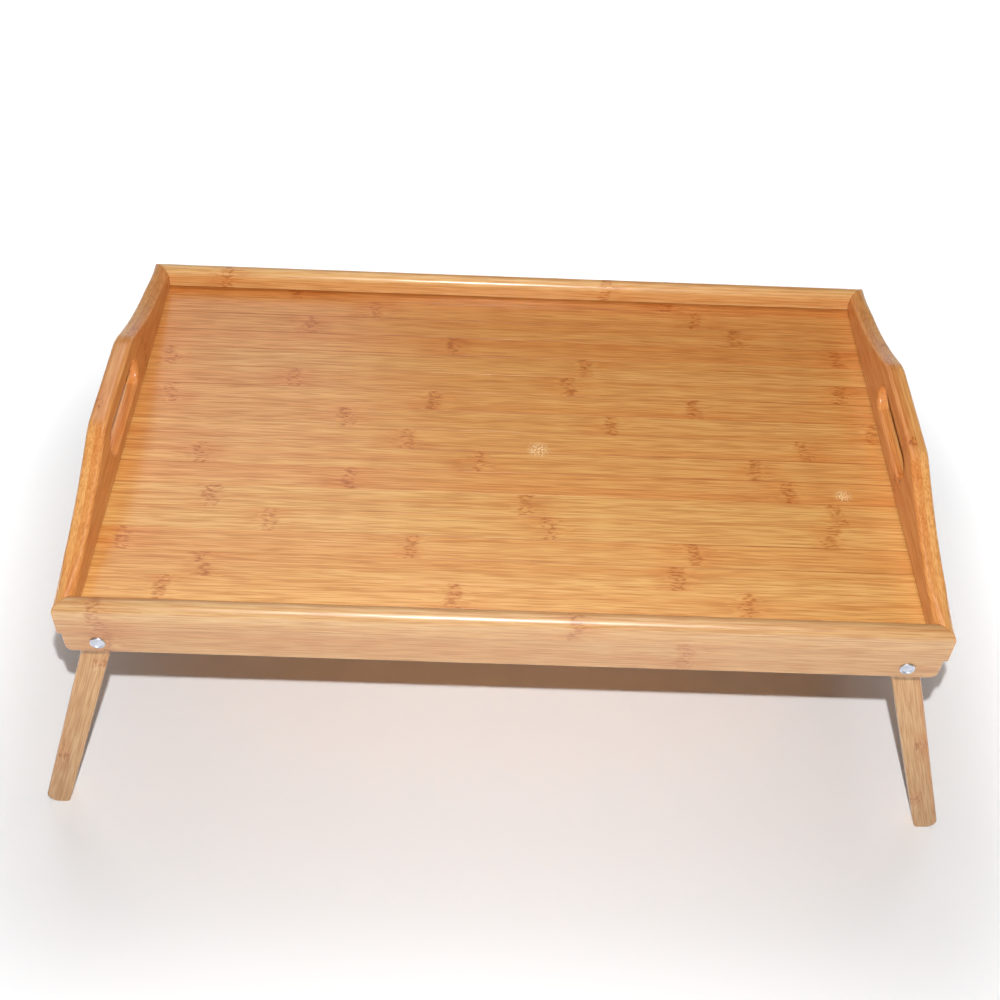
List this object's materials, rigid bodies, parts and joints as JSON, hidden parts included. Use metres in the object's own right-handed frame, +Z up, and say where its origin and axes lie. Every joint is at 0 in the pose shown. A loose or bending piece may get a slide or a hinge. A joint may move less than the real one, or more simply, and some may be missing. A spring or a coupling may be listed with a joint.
{
  "type": "folding tray table",
  "caption": "Shallow rectangular bamboo tray with slotted raised side handles, standing on splayed leg frames that fold in flat under it.",
  "frame": {"origin": "on the floor under the middle of the tray, with the legs open", "axes": "+X along the tray's length to its right, +Y towards its back, +Z up"},
  "size_m": [0.5922, 0.3156, 0.2486],
  "materials": {
    "bamboo_panel": "semi-gloss lacquer, laminated strips along the tray",
    "bamboo_rail": "semi-gloss lacquer, grain along the rail",
    "bamboo_side": "semi-gloss lacquer, grain along the board",
    "bamboo_leg": "satin lacquer, grain along the leg",
    "rivet_aluminium": "satin",
    "washer_steel": "zinc plated",
    "pin_steel": "plain wire"
  },
  "bodies": {
    "tray": {"tray_panel": "bamboo_panel", "rail_front": "bamboo_rail", "rail_back": "bamboo_rail", "side_board_left": "bamboo_side", "side_board_right": "bamboo_side", "pivot_rivet_front_left": "rivet_aluminium", "pivot_rivet_back_left": "rivet_aluminium", "pivot_rivet_front_right": "rivet_aluminium", "pivot_rivet_back_right": "rivet_aluminium", "spacer_washer_front_left": "washer_steel", "spacer_washer_back_left": "washer_steel", "spacer_washer_front_right": "washer_steel", "spacer_washer_back_right": "washer_steel", "rivet_washer_front_left": "washer_steel", "rivet_washer_back_left": "washer_steel", "rivet_washer_front_right": "washer_steel", "rivet_washer_back_right": "washer_steel", "pin_nail_upper_front_left": "pin_steel", "pin_nail_lower_front_left": "pin_steel", "pin_nail_upper_back_left": "pin_steel", "pin_nail_lower_back_left": "pin_steel", "pin_nail_upper_front_right": "pin_steel", "pin_nail_lower_front_right": "pin_steel", "pin_nail_upper_back_right": "pin_steel", "pin_nail_lower_back_right": "pin_steel"},
    "left_leg_frame": {"leg_front_left": "bamboo_leg", "leg_back_left": "bamboo_leg", "crossbar_left": "bamboo_leg"},
    "right_leg_frame": {"leg_front_right": "bamboo_leg", "leg_back_right": "bamboo_leg", "crossbar_right": "bamboo_leg"}
  },
  "joints": [
    {"name": "left_leg_fold", "type": "hinge", "parent": "tray", "child": "left_leg_frame", "pos_m": [-0.2284, 0, 0.19175], "axis": [0, -1, 0], "range_deg": [0, 108]},
    {"name": "right_leg_fold", "type": "hinge", "parent": "tray", "child": "right_leg_frame", "pos_m": [0.2284, 0, 0.19175], "axis": [0, 1, 0], "range_deg": [0, 108]}
  ]
}
